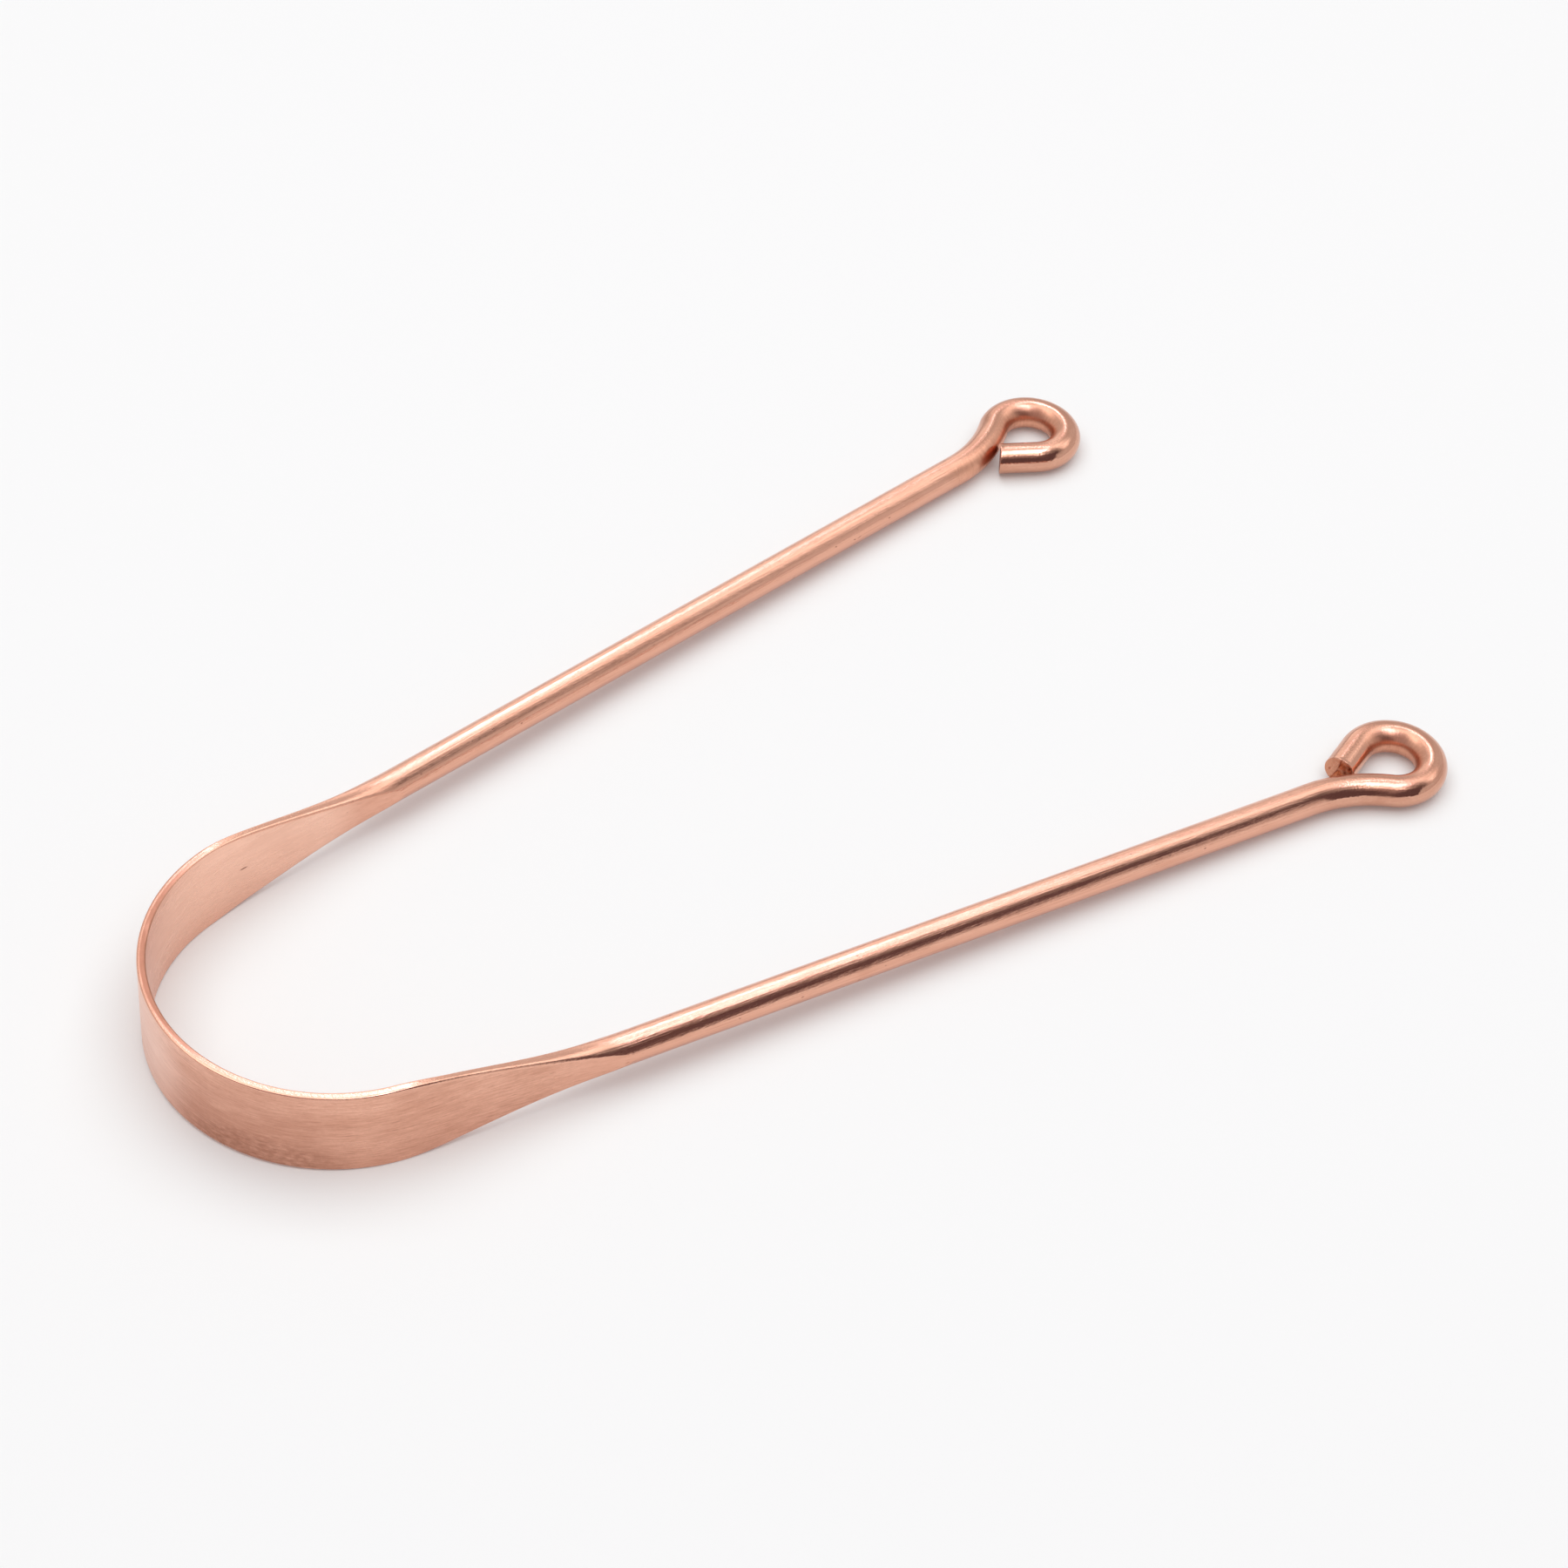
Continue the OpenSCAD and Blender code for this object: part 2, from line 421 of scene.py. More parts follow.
def addNode(tree, kind, inputs=(), **settings):
    # one node: settings are its own properties, and inputs maps sockets to values or to outputs
    node = tree.nodes.new(kind)
    for key, value in settings.items():
        setattr(node, key, value)
    for key, value in dict(inputs).items():
        if isinstance(value, bpy.types.NodeSocket):
            tree.links.new(value, node.inputs[key])
        else:
            node.inputs[key].default_value = value
    return node


def newMaterial(name):
    material = bpy.data.materials.new(name)
    material.use_nodes = True
    material.node_tree.nodes.clear()
    return material, material.node_tree


marking = {
    "shift": 7.3,  # spots from each mark's noise to the next, so that no two marks coincide
    "noise": 0.55,  # how strong the finer detail of the noise is
    "fullTo": 0.4,  # share of a place's reach up to which its mark is full
}


def finish(tree, place, look):
    # marks of noise over the straightened wire, one after another. Each has its spots per mm
    # along the wire and across it, and the stretch of the noise that counts as the mark. It may
    # change colour, roughness and height in mm, and "within" keeps it to one place, given by its
    # middle and its reach in mm
    colour, roughness, height = fromHex(look["colour"]), look["roughness"], 0.0
    for number, mark in enumerate(look["marks"]):
        along, across = mark["perMillimetre"]
        stretched = addNode(tree, "ShaderNodeMapping", {
            "Vector": place, "Scale": (along, across, across),
            "Location": (marking["shift"] * number, 0, 0)})
        noise = addNode(tree, "ShaderNodeTexNoise", {
            "Vector": stretched.outputs[0], "Scale": 1.0, "Detail": mark["detail"],
            "Roughness": marking["noise"]})
        amount = addNode(tree, "ShaderNodeMapRange", {
            "Value": noise.outputs[0], "From Min": mark["from"], "From Max": mark["to"]})
        amount = amount.outputs[0]
        if "within" in mark:
            middle, reach = mark["within"]
            off = addNode(tree, "ShaderNodeVectorMath", {0: place, 1: middle}, operation="SUBTRACT")
            off = addNode(tree, "ShaderNodeVectorMath", {0: off.outputs[0], 1: reach},
                          operation="DIVIDE")
            off = addNode(tree, "ShaderNodeVectorMath", {0: off.outputs[0]}, operation="LENGTH")
            inside = addNode(tree, "ShaderNodeMapRange", {
                "Value": off.outputs["Value"], "From Min": marking["fullTo"], "From Max": 1.0,
                "To Min": 1.0, "To Max": 0.0}, interpolation_type="SMOOTHSTEP")
            amount = addNode(tree, "ShaderNodeMath", {0: amount, 1: inside.outputs[0]},
                             operation="MULTIPLY").outputs[0]
        if "colour" in mark:
            share = addNode(tree, "ShaderNodeMath", {0: amount, 1: mark["tint"]},
                            operation="MULTIPLY")
            colour = addNode(tree, "ShaderNodeMix", {
                0: share.outputs[0], 6: colour, 7: fromHex(mark["colour"])},
                data_type="RGBA").outputs[2]
        if "rougher" in mark:
            roughness = addNode(tree, "ShaderNodeMath", {
                0: amount, 1: mark["rougher"], 2: roughness}, operation="MULTIPLY_ADD").outputs[0]
        if "height" in mark:
            height = addNode(tree, "ShaderNodeMath", {
                0: amount, 1: mark["height"], 2: height}, operation="MULTIPLY_ADD").outputs[0]
    return {"colour": colour, "roughness": roughness, "height": height}


def layFinish(tree, under, over, share):
    # one finish over another where the share is 1: colour, roughness and height mix alike
    mixed = {}
    for key, kind, first, result in (("colour", "RGBA", 6, 2), ("roughness", "FLOAT", 2, 0),
                                     ("height", "FLOAT", 2, 0)):
        mixed[key] = addNode(tree, "ShaderNodeMix", {
            0: share, first: under[key], first + 1: over[key]}, data_type=kind).outputs[result]
    return mixed


def endMetal(tree, skin):
    # the finish as a metal, its height in millimetres as a bump
    bump = addNode(tree, "ShaderNodeBump", {
        "Height": skin["height"], "Strength": 1.0, "Distance": millimetre})
    shader = addNode(tree, "ShaderNodeBsdfPrincipled", {
        "Base Color": skin["colour"], "Metallic": 1.0, "Roughness": skin["roughness"],
        "Normal": bump.outputs[0]})
    addNode(tree, "ShaderNodeOutputMaterial", {"Surface": shader.outputs[0]})


drawnFinish = {
    "colour": "#E8B098",
    "roughness": 0.055,
    "marks": [
        # long waves left by straightening, too shallow to see but for how reflections waver
        {"perMillimetre": (0.28, 0.5), "detail": 1, "from": 0.25, "to": 0.75, "height": 0.008},
        # lines left by the die
        {"perMillimetre": (0.08, 4.5), "detail": 3, "from": 0.3, "to": 0.7, "rougher": 0.02,
         "height": 0.009, "colour": "#C98C73", "tint": 0.35},
        # short marks that fray the edges of what it mirrors, drawn coarser than the real ones
        {"perMillimetre": (0.9, 6.0), "detail": 4, "from": 0.3, "to": 0.7, "rougher": 0.02,
         "height": 0.0075},
        # scratches along the wire
        {"perMillimetre": (0.14, 9.0), "detail": 1, "from": 0.66, "to": 0.78, "rougher": 0.1,
         "height": -0.003, "colour": "#B5755B", "tint": 0.6},
        # duller rubbed places
        {"perMillimetre": (0.16, 0.55), "detail": 4, "from": 0.52, "to": 0.7, "rougher": 0.08,
         "colour": "#CF937A", "tint": 0.35},
        # pits
        {"perMillimetre": (1.6, 3.5), "detail": 0, "from": 0.83, "to": 0.88, "rougher": 0.3,
         "height": -0.005, "colour": "#6E3B2B", "tint": 0.7},
    ],
}

bentFinishAndShade = {
    # colour darker than the drawn skin's: painted shade, for the dimmer room that the bends mirror
    "colour": "#DFAA92",
    "roughness": 0.06,
    "marks": [
        # waves pressed in by the bending pin
        {"perMillimetre": (0.3, 0.5), "detail": 0, "from": 0.25, "to": 0.75, "height": 0.010},
        # skin roughened by stretching, drawn coarser than the real one
        {"perMillimetre": (4.4, 6.0), "detail": 1, "from": 0.25, "to": 0.75, "rougher": 0.03,
         "height": 0.005, "colour": "#C08A72", "tint": 0.3},
        # lines left by the die
        {"perMillimetre": (0.3, 4.5), "detail": 2, "from": 0.3, "to": 0.7, "rougher": 0.03,
         "height": 0.003, "colour": "#CB8E75", "tint": 0.35},
        # duller, darker places
        {"perMillimetre": (0.25, 0.5), "detail": 3, "from": 0.46, "to": 0.66, "rougher": 0.12,
         "colour": "#BD8169", "tint": 0.4},
    ],
}

pressedFinish = {
    "colour": "#E8AC90",
    "roughness": 0.28,
    "marks": [
        # lines rubbed round the wire by the bending pin
        {"perMillimetre": (3.0, 0.6), "detail": 3, "from": 0.3, "to": 0.7, "rougher": 0.08,
         "height": 0.006, "colour": "#B97E66", "tint": 0.35},
        # duller, darker places
        {"perMillimetre": (0.3, 0.6), "detail": 3, "from": 0.4, "to": 0.65, "rougher": 0.08,
         "colour": "#B0745C", "tint": 0.2},
    ],
}


def makeDrawnCopper():
    # copper wire drawn through a die and polished: a bright skin with faint lines that fray the
    # edges of what it mirrors. Where it is bent the skin is stretched and shines more softly, with
    # painted shade darkening it, and it is rubbed dull on the inner side, where the pin pressed
    material, tree = newMaterial("drawn copper wire, polished")
    place = addNode(tree, "ShaderNodeAttribute", attribute_name="straightWire").outputs["Vector"]
    bent = addNode(tree, "ShaderNodeAttribute", attribute_name="bent").outputs["Fac"]
    rubbed = addNode(tree, "ShaderNodeAttribute", attribute_name="pressed").outputs["Fac"]
    skin = layFinish(tree, finish(tree, place, drawnFinish), finish(tree, place, bentFinishAndShade), bent)
    endMetal(tree, layFinish(tree, skin, finish(tree, place, pressedFinish), rubbed))
    return material


rolledFinishAndPaintedLight = {
    "colour": "#F8C2AA",
    "roughness": 0.24,
    "fadeFrom": 37.0,  # mm from the apex along the wire over which the drawn finish comes back
    "fadeTo": 46.5,
    "marks": [
        # cloudy tone left by the press
        {"perMillimetre": (0.1, 0.3), "detail": 5, "from": 0.38, "to": 0.66, "rougher": 0.06,
         "colour": "#C98F76", "tint": 0.33},
        # broad streaks of the rubbing, along the band
        {"perMillimetre": (0.14, 1.3), "detail": 4, "from": 0.38, "to": 0.66, "rougher": 0.04,
         "height": 0.004, "colour": "#C98E74", "tint": 0.25},
        # fine lines of the rubbing
        {"perMillimetre": (0.45, 7.0), "detail": 4, "from": 0.4, "to": 0.64, "rougher": 0.05,
         "height": 0.004, "colour": "#B67C63", "tint": 0.36},
        # soft grain, drawn coarser than the real one
        {"perMillimetre": (2.6, 5.0), "detail": 3, "from": 0.3, "to": 0.7, "height": 0.005,
         "colour": "#C08A72", "tint": 0.25},
        # short dark strokes
        {"perMillimetre": (0.5, 9.0), "detail": 1, "from": 0.66, "to": 0.8, "rougher": 0.05,
         "height": -0.004, "colour": "#8E5740", "tint": 0.55},
        # duller crown, and darker low on its outer face: painted shade of the floor's shadow that
        # it mirrors
        {"perMillimetre": (0.15, 0.4), "detail": 3, "from": 0.0, "to": 0.6, "rougher": 0.05,
         "colour": "#B9806A", "tint": 0.42, "within": ((-10.0, 0.43, -1.5), (12.0, 9.0, 9.0))},
        # paler left of the bow, where it is seen edge on: painted sheen of the white floor it
        # mirrors, and a little rougher
        {"perMillimetre": (0.1, 0.3), "detail": 2, "from": -0.3, "to": 0.4, "rougher": 0.04,
         "colour": "#FFDCCC", "tint": 0.55, "within": ((6.0, 0.43, -0.5), (11.0, 0.8, 9.0))},
        # paler inner face on the left, polished more
        {"perMillimetre": (0.1, 0.3), "detail": 3, "from": -0.3, "to": 0.5, "rougher": -0.03,
         "colour": "#FFD2BC", "tint": 0.6, "within": ((30.0, -0.43, 0.0), (26.0, 0.8, 9.0))},
        # rough patch left by the press, low on the right of the bow
        {"perMillimetre": (1.2, 2.2), "detail": 4, "from": 0.3, "to": 0.6, "rougher": 0.1,
         "height": 0.02, "colour": "#9A624B", "tint": 0.45,
         "within": ((-11.0, 0.43, -3.9), (10.0, 9.0, 3.2))},
        # one scratch on the inner face, on the left
        {"perMillimetre": (0.8, 1.0), "detail": 1, "from": -0.4, "to": 0.5, "rougher": 0.2,
         "height": -0.01, "colour": "#6E3B2B", "tint": 0.8,
         "within": ((28.4, -0.43, 0.1), (0.6, 0.6, 0.11))},
    ],
}

edgeFinishAndShade = {
    "colour": "#EFB8A0",
    "roughness": 0.1,
    "marks": [
        # grain of the dressed edge, which sparkles
        {"perMillimetre": (3.5, 5.5), "detail": 2, "from": 0.25, "to": 0.75, "rougher": 0.04,
         "height": 0.006},
        # lines of the dressing, along the edge
        {"perMillimetre": (0.25, 8.0), "detail": 2, "from": 0.35, "to": 0.65, "rougher": 0.04,
         "height": 0.002, "colour": "#D8987D", "tint": 0.35},
        # duller, darker stretch at the crown: rougher, and painted shade where the brushing turns
        # the edge's highlight away
        {"perMillimetre": (0.2, 1.0), "detail": 2, "from": 0.1, "to": 0.4, "rougher": 0.3,
         "colour": "#A8735B", "tint": 0.85, "within": ((9.0, -0.16, 4.8), (19.0, 0.5, 3.0))},
        # nicks
        {"perMillimetre": (2.0, 4.5), "detail": 0, "from": 0.82, "to": 0.88, "rougher": 0.2,
         "height": -0.01, "colour": "#96553D", "tint": 0.5},
    ],
}


def makeRolledCopper():
    # copper pressed between flat dies and rubbed lengthwise with fine abrasive: satin flats with
    # dressed edges that sparkle, and toward the arms the bright drawn skin comes back
    material, tree = newMaterial("rolled copper, rubbed")
    place = addNode(tree, "ShaderNodeAttribute", attribute_name="straightWire").outputs["Vector"]
    onEdge = addNode(tree, "ShaderNodeAttribute", attribute_name="onEdge").outputs["Fac"]
    flats, edges = finish(tree, place, rolledFinishAndPaintedLight), finish(tree, place, edgeFinishAndShade)
    skin = layFinish(tree, flats, edges, onEdge)
    along = addNode(tree, "ShaderNodeSeparateXYZ", {"Vector": place}).outputs["X"]
    along = addNode(tree, "ShaderNodeMath", {0: along}, operation="ABSOLUTE").outputs[0]
    fade = addNode(tree, "ShaderNodeMapRange", {
        "Value": along, "From Min": rolledFinishAndPaintedLight["fadeFrom"], "From Max": rolledFinishAndPaintedLight["fadeTo"]},
        interpolation_type="SMOOTHSTEP").outputs[0]
    endMetal(tree, layFinish(tree, skin, finish(tree, place, drawnFinish), fade))
    return material


shearedFinish = {
    "colour": "#DC9F83",
    "roughness": 0.26,
    "marks": [
        # scores that the blade drew down the clean part of the cut
        {"perMillimetre": (0.4, 3.0), "detail": 3, "from": 0.3, "to": 0.7, "rougher": 0.1,
         "height": 0.01, "colour": "#BE7F62", "tint": 0.5},
    ],
}

tornFinish = {
    "colour": "#D5794C",
    "roughness": 0.36,
    "marks": [
        # dimples of torn metal
        {"perMillimetre": (1.5, 1.7), "detail": 3, "from": 0.35, "to": 0.65, "rougher": 0.1,
         "height": 0.09, "colour": "#8A4228", "tint": 0.7},
        # darker toward the rim on the last side to part
        {"perMillimetre": (1.0, 1.0), "detail": 2, "from": -0.2, "to": 0.5, "rougher": 0.1,
         "colour": "#5E2E1E", "tint": 0.6, "within": ((0.0, -1.3, 0.0), (400.0, 1.5, 2.0))},
    ],
}


def makeShearedCopper():
    # copper wire cut by a blade: pale and scored where the blade went in, and dimpled, dull and
    # redder where the metal tore
    material, tree = newMaterial("sheared copper")
    place = addNode(tree, "ShaderNodeAttribute", attribute_name="straightWire").outputs["Vector"]
    cut = addNode(tree, "ShaderNodeAttribute", attribute_name="cutFace").outputs["Fac"]
    torn = addNode(tree, "ShaderNodeAttribute", attribute_name="torn").outputs["Fac"]
    skin = layFinish(tree, finish(tree, place, bentFinishAndShade), finish(tree, place, shearedFinish), cut)
    endMetal(tree, layFinish(tree, skin, finish(tree, place, tornFinish), torn))
    return material


rolledCopper = makeRolledCopper()
drawnCopper = makeDrawnCopper()
shearedCopper = makeShearedCopper()

# Pieces

steps = {"band": 0.35, "shoulder": 0.3, "handle": 0.4, "eye": 0.2}  # mm between rings


def makeHalf(label, side, seed):
    # the stretches of one half, from the apex of the bow to the cut end
    body = label + "_arm"
    eyeEnd = wireEnds[side] - cutEnd["length"]
    crown = makeWire(label + "Band", 0, crownLength, steps["band"], side)
    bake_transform(crown)
    pieces = [
        (crown, "scraping_band", rolledCopper, "rolled_copper"),
        (makeWire(label + "Shoulder", crownLength, shoulderEnd, steps["shoulder"], side),
         label + "_shoulder", rolledCopper, "rolled_copper"),
        (makeWire(label + "Handle", shoulderEnd, loopStart, steps["handle"], side),
         label + "_handle", drawnCopper, "drawn_copper"),
        (makeWire(label + "Eye", loopStart, eyeEnd, steps["eye"], side),
         label + "_eye", drawnCopper, "drawn_copper"),
        (makeCutEnd(label + "CutEnd", side, seed), label + "_eye", shearedCopper, "drawn_copper"),
    ]
    for piece, node, material, slot in pieces:
        piece.data.materials.append(material)
        if piece is not crown:
            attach(piece, body)
        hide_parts(node)
    print("scene: made", label, "half")


makeHalf("left", 1, 5)
makeHalf("right", -1, 3)

# Table, light and camera

studio = {
    "white": "#FBFBFB",  # behind the object, as the camera sees it
    "wall": "#E0DFDF",  # the room's walls, as the metal mirrors them
    "fill": "#A09798",  # what the room gives to matt surfaces, beside the softbox
    "floor": "#FAF9F9",
    "floorRoughness": 0.9,
    "floorSize": 4.0,
    "paperGlow": 0.1,  # how far the paper's own white fills its shadows, as the camera sees them
    "glowFrom": 0.22,  # metres from the object over which the paper goes over to its own white
    "glowTo": 0.6,
}


def direction(azimuth, elevation):
    # unit vector, with azimuth 0 along +Y and 90 along +X
    a, e = np.radians(azimuth), np.radians(elevation)
    return np.array([np.cos(e) * np.sin(a), np.cos(e) * np.cos(a), np.sin(e)])


# what the metal sees of the room, as patches of its sky, in degrees, each laid over the last.
# These weren't set by hand: a program fitted them to the tones on the rods and eyes of the
# photograph. Some strengths and colours were changed afterwards and the numbers rounded
mirrored = {
    "ceiling": {"azimuth": 147, "elevation": 93, "roll": -8, "length": 38,
        "height": 25, "soft": 7, "radiance": 1.7, "colour": "#FFFFFF"},
    "glow behind": {"azimuth": 35, "elevation": 44, "roll": -16, "length": 8.5,
        "height": 35, "soft": 4, "radiance": 1.3, "colour": "#FFFFFF"},
    "glow to the left": {"azimuth": 315, "elevation": 59, "roll": -23, "length": 10,
        "height": 15, "soft": 10, "radiance": 2.3, "colour": "#FFFFFF"},
    "glow to the right": {"azimuth": 109, "elevation": 43, "roll": -18, "length": 15,
        "height": 11, "soft": 8, "radiance": 1.7, "colour": "#FFFFFF"},
    "dim right": {"azimuth": 144, "elevation": 44, "roll": -56, "length": 16,
        "height": 11, "soft": 12, "radiance": 0.17, "colour": "#FFF0F4"},
    "dark side": {"azimuth": 189, "elevation": 23, "roll": 16, "length": 27,
        "height": 33, "soft": 1, "radiance": 0.15, "colour": "#FFDCE6"},
    "dim left": {"azimuth": 244, "elevation": 38, "roll": 22, "length": 28,
        "height": 38, "soft": 8, "radiance": 0.47, "colour": "#FFF0F4"},
    "window overhead": {"azimuth": 155, "elevation": 76.5, "roll": -15, "length": 16,
        "height": 5.5, "soft": 1, "radiance": 5.4, "colour": "#F2E8FF"},
    "window to the right": {"azimuth": 95, "elevation": 56, "roll": 8, "length": 7.5,
        "height": 0.9, "soft": 2.5, "radiance": 2.2, "colour": "#FFFFFF"},
    "level strip": {"azimuth": 36, "elevation": 45.5, "roll": -16, "length": 3.5,
        "height": 7, "soft": 2.5, "radiance": 4.9, "colour": "#F2E8FF"},
    "slanting strip": {"azimuth": 78, "elevation": 66.5, "roll": 27, "length": 22,
        "height": 0.7, "soft": 1, "radiance": 6.8, "colour": "#F2E8FF"},
    "second strip": {"azimuth": 71, "elevation": 60, "roll": 41, "length": 25,
        "height": 2, "soft": 1, "radiance": 1.4, "colour": "#FFFFFF"},
    "hot spot": {"azimuth": 39, "elevation": 56.5, "roll": 18, "length": 0.6,
        "height": 10, "soft": 1.5, "radiance": 8, "colour": "#F2E8FF"},
    "window in front": {"azimuth": 192, "elevation": 60.5, "roll": -12, "length": 9,
        "height": 6.5, "soft": 2.5, "radiance": 2.1, "colour": "#FFFFFF"},
}


def patchAxes(patch):
    # unit vectors to the patch's middle, along its length and up its height
    a, r = np.radians(patch["azimuth"]), np.radians(patch["roll"])
    middle = direction(patch["azimuth"], patch["elevation"])
    level = np.array([np.cos(a), -np.sin(a), 0])
    above = np.cross(level, middle)
    return middle, np.cos(r) * level + np.sin(r) * above, np.cos(r) * above - np.sin(r) * level


def makeRoom():
    # a white room: bright and dark patches where the metal mirrors it, dimmer and even where it
    # lights matt surfaces, and plain white behind the object
    world = bpy.data.worlds.new("white room")
    world.use_nodes = True
    tree = world.node_tree
    tree.nodes.clear()
    way = addNode(tree, "ShaderNodeTexCoord").outputs["Generated"]
    seen = fromHex(studio["wall"])
    for patch in mirrored.values():
        middle, along, above = patchAxes(patch)
        near = addNode(tree, "ShaderNodeVectorMath", {0: way, 1: middle.tolist()},
                       operation="DOT_PRODUCT")
        mask = addNode(tree, "ShaderNodeMath", {0: near.outputs["Value"], 1: 0.0},
                       operation="GREATER_THAN")
        for axis, half in ((along, patch["length"]), (above, patch["height"])):
            off = addNode(tree, "ShaderNodeVectorMath", {0: way, 1: axis.tolist()},
                          operation="DOT_PRODUCT")
            off = addNode(tree, "ShaderNodeMath", {0: off.outputs["Value"]}, operation="ABSOLUTE")
            ends = [np.sin(np.radians(half + soft)) for soft in (-patch["soft"], patch["soft"])]
            side = addNode(tree, "ShaderNodeMapRange", {
                "Value": off.outputs[0], "From Min": ends[0], "From Max": ends[1],
                "To Min": 1.0, "To Max": 0.0}, interpolation_type="SMOOTHSTEP")
            mask = addNode(tree, "ShaderNodeMath", {0: mask.outputs[0], 1: side.outputs[0]},
                           operation="MULTIPLY")
        light = [patch["radiance"] * part for part in fromHex(patch["colour"])]
        seen = addNode(tree, "ShaderNodeMix", {0: mask.outputs[0], 6: seen, 7: light},
                       data_type="RGBA").outputs[2]
    rays = addNode(tree, "ShaderNodeLightPath")
    shown = addNode(tree, "ShaderNodeMath", {0: rays.outputs["Is Camera Ray"],
                    1: rays.outputs["Is Transmission Ray"]}, operation="MAXIMUM")
    plain = addNode(tree, "ShaderNodeMix", {0: shown.outputs[0], 6: fromHex(studio["fill"]),
                    7: fromHex(studio["white"])}, data_type="RGBA")
    # what the metal throws on to the floor comes from the plain walls
    plain = addNode(tree, "ShaderNodeMix", {0: rays.outputs["Is Glossy Ray"], 6: plain.outputs[2],
                    7: fromHex(studio["wall"])}, data_type="RGBA")
    # and the patches are only for rays that have met no matt surface yet
    direct = addNode(tree, "ShaderNodeMath", {0: rays.outputs["Diffuse Depth"], 1: 0.5},
                     operation="LESS_THAN")
    mirror = addNode(tree, "ShaderNodeMath", {
        0: rays.outputs["Is Glossy Ray"], 1: direct.outputs[0]}, operation="MULTIPLY")
    walls = addNode(tree, "ShaderNodeBackground", {"Color": plain.outputs[2], "Strength": 1.0})
    patches = addNode(tree, "ShaderNodeBackground", {"Color": seen, "Strength": 1.0})
    both = addNode(tree, "ShaderNodeMixShader", {
        0: mirror.outputs[0], 1: walls.outputs[0], 2: patches.outputs[0]})
    addNode(tree, "ShaderNodeOutputWorld", {"Surface": both.outputs[0]})
    bpy.context.scene.world = world


def makeFloor():
    # matt white paper. For the camera and in mirrors part of it is shown at its own white, so
    # that the object's shadow stays as light as in a bright room, and further off all of it is
    material, tree = newMaterial("white paper sweep")
    paper = addNode(tree, "ShaderNodeBsdfPrincipled", {
        "Base Color": fromHex(studio["floor"]), "Roughness": studio["floorRoughness"],
        "Specular IOR Level": 0.0})
    glow = addNode(tree, "ShaderNodeEmission", {"Color": fromHex(studio["floor"]), "Strength": 1.0})
    rays = addNode(tree, "ShaderNodeLightPath")
    shown = addNode(tree, "ShaderNodeMath", {0: rays.outputs["Is Camera Ray"],
                    1: rays.outputs["Is Transmission Ray"]}, operation="MAXIMUM")
    shown = addNode(tree, "ShaderNodeMath", {0: shown.outputs[0], 1: rays.outputs["Is Glossy Ray"]},
                    operation="MAXIMUM")
    place = addNode(tree, "ShaderNodeTexCoord").outputs["Object"]
    away = addNode(tree, "ShaderNodeVectorMath", {0: place}, operation="LENGTH").outputs["Value"]
    white = addNode(tree, "ShaderNodeMapRange", {"Value": away, "From Min": studio["glowFrom"],
                    "From Max": studio["glowTo"], "To Min": studio["paperGlow"], "To Max": 1.0},
                    interpolation_type="SMOOTHSTEP").outputs[0]
    share = addNode(tree, "ShaderNodeMath", {0: shown.outputs[0], 1: white}, operation="MULTIPLY")
    mixed = addNode(tree, "ShaderNodeMixShader", {
        0: share.outputs[0], 1: paper.outputs[0], 2: glow.outputs[0]})
    addNode(tree, "ShaderNodeOutputMaterial", {"Surface": mixed.outputs[0]})
    size = studio["floorSize"] / 2
    corners = np.array([[-size, -size, 0], [size, -size, 0], [size, size, 0], [-size, size, 0]])
    floor = makeMesh("floor", corners, [[0, 1, 2, 3]], {}, [False])
    floor.data.materials.append(material)


softbox = {
    "azimuth": 38,
    "elevation": 85,
    "distance": 0.9,
    "width": 1.3,
    "height": 1.3,
    "radiance": 1.78,
    "colour": "#F7FFFF",  # evens out the pink of the fill
}


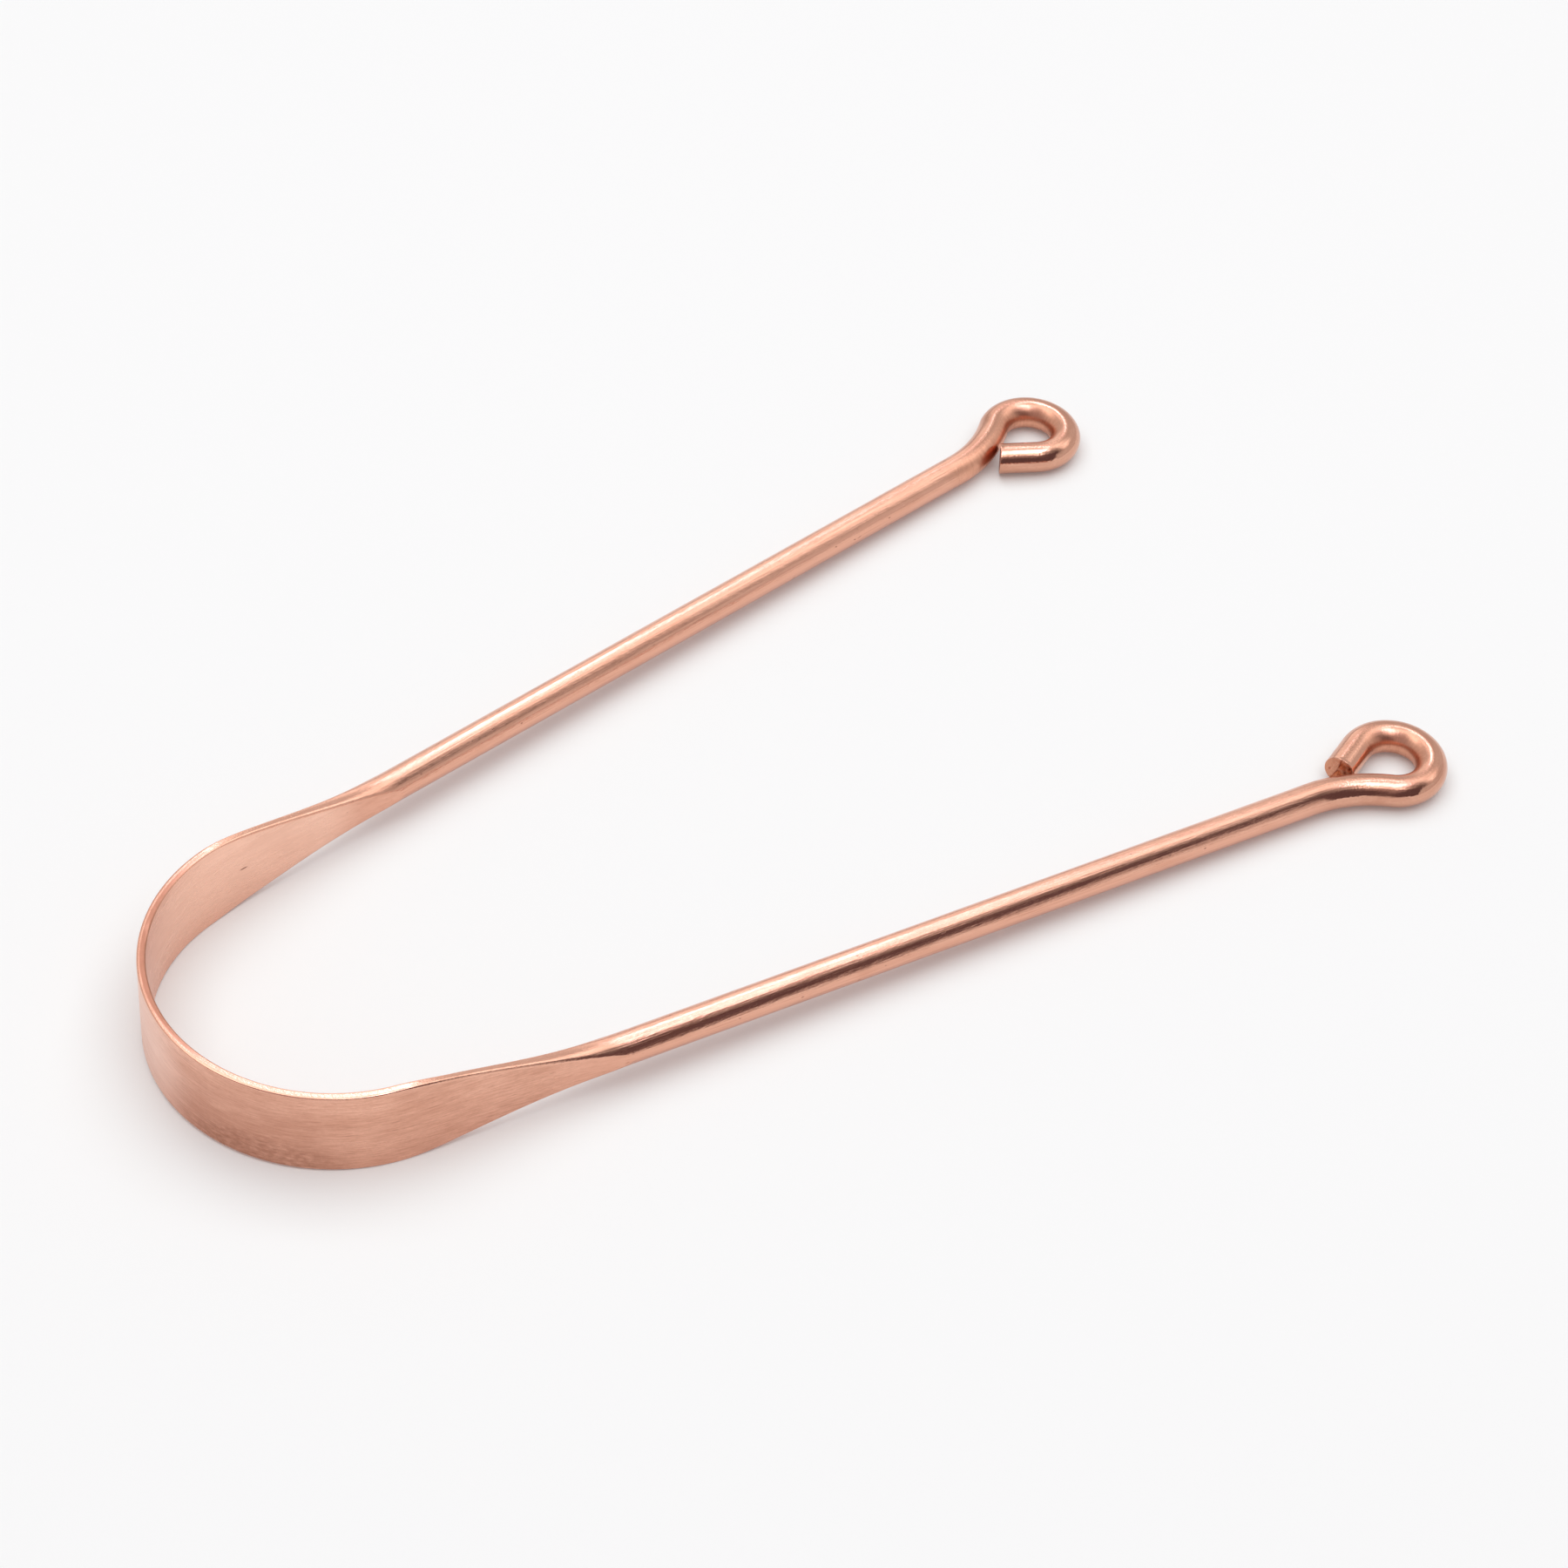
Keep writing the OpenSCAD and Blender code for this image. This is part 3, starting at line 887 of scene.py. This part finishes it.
def makeLamp(name, lamp):
    # an area lamp gives the radiance of its power over pi and its area
    data = bpy.data.lights.new(name, "AREA")
    data.shape = "RECTANGLE"
    data.size, data.size_y = lamp["width"], lamp["height"]
    data.energy = lamp["radiance"] * np.pi * lamp["width"] * lamp["height"]
    data.color = fromHex(lamp["colour"])[:3]
    holder = bpy.data.objects.new(name, data)
    toLamp = direction(lamp["azimuth"], lamp["elevation"])
    holder.location = toLamp * lamp["distance"]
    holder.rotation_euler = Vector(toLamp).to_track_quat("Z", "Y").to_euler()
    holder.visible_glossy = False  # the metal sees the room's patches instead
    bpy.context.scene.collection.objects.link(holder)


camera = {  # in the plane of the arms, fitted by a program to the outline in the photograph
    "azimuth": 38.31,
    "elevation": 44.45,
    "roll": 4.34,
    "distance": 421.5,
    "target": (68.67, -0.32, 0.65),
    "focal": 4921,  # pixels
    "frame": 1800,  # pixels
    "sensor": 36,
    "near": 0.01,  # metres
    "far": 20,
}


def makeCamera():
    a, e, r = np.radians([camera["azimuth"], camera["elevation"], camera["roll"]])
    level = np.array([np.cos(a), -np.sin(a), 0])
    ahead = np.array([np.cos(e) * np.sin(a), np.cos(e) * np.cos(a), -np.sin(e)])
    above = np.cross(level, ahead)
    right = np.cos(r) * level + np.sin(r) * above
    up = np.cos(r) * above - np.sin(r) * level
    place = np.array(camera["target"]) - camera["distance"] * ahead
    origin = toTable(np.zeros(3))
    turned = [toTable(v) - origin for v in (right, up, -ahead)]
    axes = Matrix([(Vector(v) / millimetre).to_tuple() for v in turned]).transposed()
    data = bpy.data.cameras.new("camera")
    data.sensor_width = camera["sensor"]
    data.lens = camera["focal"] / camera["frame"] * data.sensor_width
    data.clip_start, data.clip_end = camera["near"], camera["far"]
    holder = bpy.data.objects.new("camera", data)
    holder.matrix_world = Matrix.Translation(toTable(place)) @ axes.to_4x4()
    bpy.context.scene.collection.objects.link(holder)
    bpy.context.scene.camera = holder


makeRoom()
makeFloor()
makeLamp("softbox", softbox)
makeCamera()
bpy.context.scene.view_settings.view_transform = "Standard"
print("scene: table, light and camera set")

bpy.context.view_layer.update()
